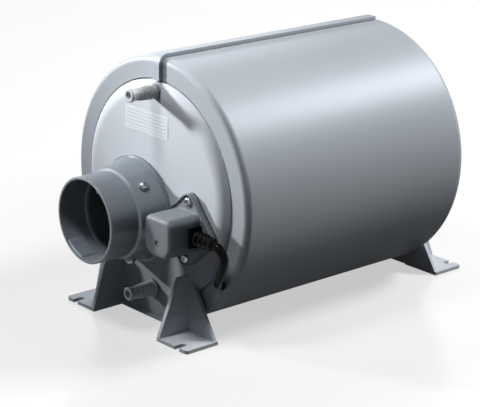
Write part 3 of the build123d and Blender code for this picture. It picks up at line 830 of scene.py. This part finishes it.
@dataclass
class SocketPad:
    """Shallow raised pad inside the mouth of the front socket."""

    angles: tuple[float, float] = (-137.0, -100.0)
    outs: tuple[float, float] = (42.5 * MM, 60.2 * MM)
    rise: float = 1.1 * MM
    sunk: float = 0.2 * MM
    rows: int = 33
    columns: int = 25

    def build(self, material: bpy.types.Material) -> bpy.types.Object:
        """Radius = bore - rise (1 - |a|^12) (1 - |b|^12), with a and b from -1 to 1.

        The angle goes evenly with a and the way out with b. A back at bore + sunk closes it.

        Args:
            material: the pad's material.

        Returns:
            The pad.
        """
        over = np.linspace(-1, 1, self.columns)
        over_and_back = np.concatenate([over, over[::-1]])
        a, b = np.meshgrid(np.linspace(-1, 1, self.rows), over_and_back, indexing="ij")
        top = SIZES.socket_bore - self.rise * (1.0 - np.abs(a) ** 12) * (1.0 - np.abs(b) ** 12)
        on_top = np.arange(over_and_back.size) < self.columns
        radius = np.where(on_top, top, SIZES.socket_bore + self.sunk)
        turn = np.radians(np.interp(a, (-1, 1), self.angles))
        x = SIZES.duct_x + radius * np.cos(turn)
        y = SIZES.front - np.interp(b, (-1, 1), self.outs)
        z = SIZES.duct_z + radius * np.sin(turn)
        piece = surface("socket_pad", np.stack([x, y, z], -1), False, True)
        return dress(tidy_mesh(piece, fill=True), material)


@dataclass(frozen=True)
class Camera:
    """Camera at the place and angle from which the heater is seen."""

    place: tuple[float, float, float] = (1.0940, -1.00695, 0.5507)
    azimuth: float = 48.42
    elevation: float = 17.80
    roll: float = 0.84
    lens: float = 134.47
    sensor: float = 36.0

    def build(self) -> None:
        """Aim along azimuth and elevation, turned by the roll."""
        a, e, r = (radians(value) for value in (self.azimuth, self.elevation, self.roll))
        right = Vector((cos(a), sin(a), 0.0))
        back = Vector((sin(a) * cos(e), -cos(a) * cos(e), sin(e)))
        up = back.cross(right)
        across = right * cos(r) + up * sin(r)
        upright = up * cos(r) - right * sin(r)
        data = bpy.data.cameras.new("camera")
        data.lens = self.lens
        data.sensor_width = self.sensor
        camera = bpy.data.objects.new("camera", data)
        turn = Matrix((across, upright, back)).transposed().to_4x4()
        camera.matrix_world = Matrix.Translation(self.place) @ turn
        bpy.context.scene.collection.objects.link(camera)
        bpy.context.scene.camera = camera


@dataclass(frozen=True)
class Lamp:
    """Rectangular soft lamp that looks at a point, with a beam of limited width."""

    name: str
    place: tuple[float, float, float]
    target: tuple[float, float, float]
    size: tuple[float, float]
    watts: float
    beam: float = 180.0

    def build(self) -> None:
        """Hang the lamp."""
        data = bpy.data.lights.new(self.name, "AREA")
        data.shape = "RECTANGLE"
        data.size, data.size_y = self.size
        data.energy = self.watts
        data.spread = radians(self.beam)
        lamp = bpy.data.objects.new(self.name, data)
        lamp.location = self.place
        direction = Vector(self.target) - Vector(self.place)
        lamp.rotation_euler = direction.to_track_quat("-Z", "Y").to_euler()
        bpy.context.scene.collection.objects.link(lamp)


@dataclass
class Studio:
    """Pale floor, white surroundings and soft lamps.

    The lamp behind lays the light band along the casing. The one at the front, far to the left,
    lights the end plate and throws the upper hose tail's shadow. The one on top lifts the fittings.
    """

    floor_size: float = 8.0
    floor_shade: float = 0.3
    # glow near and far from the heater; the lower near glow is a painted shade around the heater
    floor_glow: tuple[float, float] = (0.64, 0.8)
    painted_shade_reach: tuple[float, float] = (0.22, 0.45)
    floor_bounce: float = 0.04
    floor_gloss: float = 0.8
    gloss_roughness: float = 0.22
    ambient: float = 0.03
    lamps: tuple[Lamp, ...] = (
        Lamp("behind", (0.6, 1.3, 1.35), (0.0, 0.0, 0.1), (0.6, 0.5), 44.0),
        Lamp("front", (-1.62, -1.08, 0.9), (0.0, -0.13, 0.26), (0.28, 0.28), 0.58, 10.0),
        Lamp("top", (-0.1, -0.6, 1.2), (-0.02, -0.16, 0.1), (0.3, 0.3), 0.42, 35.0),
    )

    @staticmethod
    def seen(tree: bpy.types.NodeTree) -> Wire:
        """One for rays of the camera and of reflections, zero for scattered light.

        Args:
            tree: the node tree that takes it.

        Returns:
            The wire.
        """
        path = tree.nodes.new("ShaderNodeLightPath")
        rays = ("Is Camera Ray", "Is Glossy Ray", "Is Transmission Ray")
        camera, glossy, through = (Wire(tree, path.outputs[ray]) for ray in rays)
        return camera + glossy + through

    def floor(self) -> None:
        """Lay a wide floor: pale to the eye, with a soft shadow, and dark to scattered light.

        Its glow grows evenly with the distance from the heater's middle, between two reaches, so
        the dimmer glow near the heater is a painted shade around it.
        """
        half = self.floor_size / 2
        x, y = np.meshgrid((-half, half), (-half, half))
        piece = surface("floor", np.stack([x, y, np.zeros_like(x)], -1), False, False)
        paint = Paint("floor_paint")
        seen = self.seen(paint.tree)
        settings = {"operation": "LENGTH"}
        away = paint.node("ShaderNodeVectorMath", settings, {0: paint.place}, output="Value")
        # Painted shade: the floor glows dimmer near the heater and reaches its full glow between
        # the two reaches.
        near, far = self.painted_shade_reach
        reach = {"Value": away, "From Min": near, "From Max": far, "To Min": 0.0, "To Max": 1.0}
        share = paint.node("ShaderNodeMapRange", inputs=reach)
        painted_shade_glow, far_glow = ((glow,) * 3 for glow in self.floor_glow)
        glow = paint.blend(share * seen, painted_shade_glow, far_glow)
        paint.give(
            Base_Color=paint.blend(seen, (self.floor_bounce,) * 3, (self.floor_shade,) * 3),
            Emission_Color=paint.blend(seen, (0.0,) * 3, glow),
            Emission_Strength=1.0,
            Specular_IOR_Level=0.0,
            Coat_Weight=seen * self.floor_gloss,
            Coat_Roughness=self.gloss_roughness,
        )
        piece.data.materials.append(paint.material)

    def world(self) -> None:
        """White to the eye and in reflections, dimmer as a light."""
        world = bpy.data.worlds.new("studio")
        bpy.context.scene.world = world
        world.use_nodes = True
        tree = world.node_tree
        tree.nodes.clear()
        sky = tree.nodes.new("ShaderNodeBackground")
        sky.inputs[0].default_value = (1.0, 1.0, 1.0, 1.0)
        strength = self.seen(tree) * (1.0 - self.ambient) + self.ambient
        tree.links.new(strength.socket, sky.inputs[1])
        out = tree.nodes.new("ShaderNodeOutputWorld")
        tree.links.new(sky.outputs[0], out.inputs[0])

    def build(self) -> None:
        """Set up floor, world and lamps."""
        self.floor()
        self.world()
        for lamp in self.lamps:
            lamp.build()


@dataclass
class Heater:
    """The heater's finishes and dressed pieces."""

    nodes: dict

    def finishes(self) -> dict[str, bpy.types.Material]:
        """Make every finish.

        Returns:
            Each material by the record's slot, and the terminal cover's as "cover".
        """
        recipes = {
            "casing": MouldedPlastic(
                "casing_silver",
                (0.38, 0.414, 0.453),
                roughness=0.42,
                metal=0.08,
                grain=1200.0,
                grain_depth=0.04 * MM,
                edge=0.8 * MM,
                specular=0.0,
            ),
            "end_plate": MouldedPlastic(
                "plate_silver",
                (0.55, 0.59, 0.64),
                roughness=0.42,
                metal=0.03,
                grain=1100.0,
                grain_depth=0.04 * MM,
                specular=0.0,
            ),
            "grey_plastic": MouldedPlastic("fitting_grey", (0.222, 0.254, 0.289), 0.38, metal=0.2),
            "hose_tail": MouldedPlastic("tail_grey", (0.48, 0.5, 0.53), 0.5, edge=0.4 * MM),
            "cover": MouldedPlastic(
                "cover_grey", (0.205, 0.23, 0.257), 0.42, edge=2.4 * MM, specular=0.25
            ),
            "button": MouldedPlastic("button_grey", (0.2, 0.22, 0.24), 0.35, edge=0.4 * MM),
            "terminal": MouldedPlastic("terminal_cream", (0.7, 0.67, 0.56), 0.5),
            "foam": BeadFoam("bead_foam", (0.84, 0.84, 0.82)),
            "tank_steel": Steel("tank_sheet", (0.62, 0.62, 0.63), 0.3),
            "tube": Steel("tube_metal", (0.16, 0.19, 0.22), 0.5),
            "screw": Steel("screw_metal", (0.3, 0.31, 0.33), 0.3),
            "element_sheath": Steel("sheath_metal", (0.4, 0.38, 0.35), 0.4),
            "cutout": Steel("cutout_metal", (0.6, 0.6, 0.6), 0.3),
            "seal": Rubber("seal_rubber", (0.03, 0.03, 0.033), 0.6),
            "black_rubber": Rubber("boot_rubber", (0.004, 0.004, 0.005), 0.18, specular=0.1),
            "lead": Rubber(
                "lead_sheath", (0.004, 0.004, 0.005), 0.12, edge=0.0, strength=0.1, specular=0.05
            ),
        }
        return {slot: recipe.make() for slot, recipe in recipes.items()}

    def dress_nodes(self, finishes: dict[str, bpy.types.Material], record: dict) -> None:
        """Give each solid the finish of its slot, and the terminal cover its own.

        Args:
            finishes: the materials by name.
            record: the part's record.
        """
        for part in record["subparts"]:
            name = part["node"]
            finish = "cover" if name == "terminal_cover" else part["material_slot"]
            materials = self.nodes[name].data.materials
            materials.clear()
            materials.append(finishes[finish])
            log.info("solid %s", name)

    def screws(self, material: bpy.types.Material) -> None:
        """Put a screw with a cross recess in the place of each plain one.

        The duct's screws stand around it at three angles, and the cover's two on a line.

        Args:
            material: the screws' material.
        """
        length = SIZES.duct_screw_seat - SIZES.duct_screw_tip
        screw = PanScrew(SIZES.duct_screw_shank, length)
        for side in Side:
            end = side.name.lower()
            y = side.value * (SIZES.duct_screw_out - SIZES.front)
            for angle in SIZES.duct_screw_angles:
                away = Vector((cos(radians(angle)), 0, sin(radians(angle))))
                centre = Vector((SIZES.duct_x, y, SIZES.duct_z)) + away * SIZES.duct_screw_seat
                screw.build(f"duct_screw_{end}_{angle}", centre, away, "duct_screws", material)
        screw = PanScrew(SIZES.cover_screw_shank, SIZES.cover_screw_length)
        line = radians(SIZES.cover_screw_angle)
        for side, name in ((-1, "low"), (1, "high")):
            right = SIZES.element[0] + side * SIZES.cover_screw_reach * cos(line)
            above = SIZES.element[1] + side * SIZES.cover_screw_reach * sin(line)
            centre = SIZES.at(right, SIZES.cover_screw_out, above)
            screw.build(f"cover_screw_{name}", centre, Vector((0, -1, 0)), "cover_screws", material)

    def build(self, record: dict) -> None:
        """Dress the whole heater.

        Args:
            record: the part's record.
        """
        finishes = self.finishes()
        self.dress_nodes(finishes, record)
        MainsLead().build(finishes["lead"])
        Boot().build(finishes["black_rubber"])
        DataPlate().build(PrintedPlate().make())
        SocketPad().build(finishes["grey_plastic"])
        tail = finishes["hose_tail"]
        hot, cold = HoseTail(SIZES.hot_collar), HoseTail(SIZES.cold_collar)
        hot.build("hot_tail", SIZES.hot_tail, "hot_water_outlet", tail)
        cold.build("cold_tail", SIZES.cold_tail, "cold_water_inlet", tail)
        self.screws(finishes["screw"])


def main(frame: dict) -> None:
    """Build the scene around the loaded frame.
    """
    logging.basicConfig(level=logging.INFO)
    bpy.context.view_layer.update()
    scene = bpy.context.scene
    scene.view_settings.view_transform = "Standard"
    Camera().build()
    Heater(frame["nodes"]).build(frame["record"])
    Studio().build()


if __name__ == "__main__":
    main(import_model())
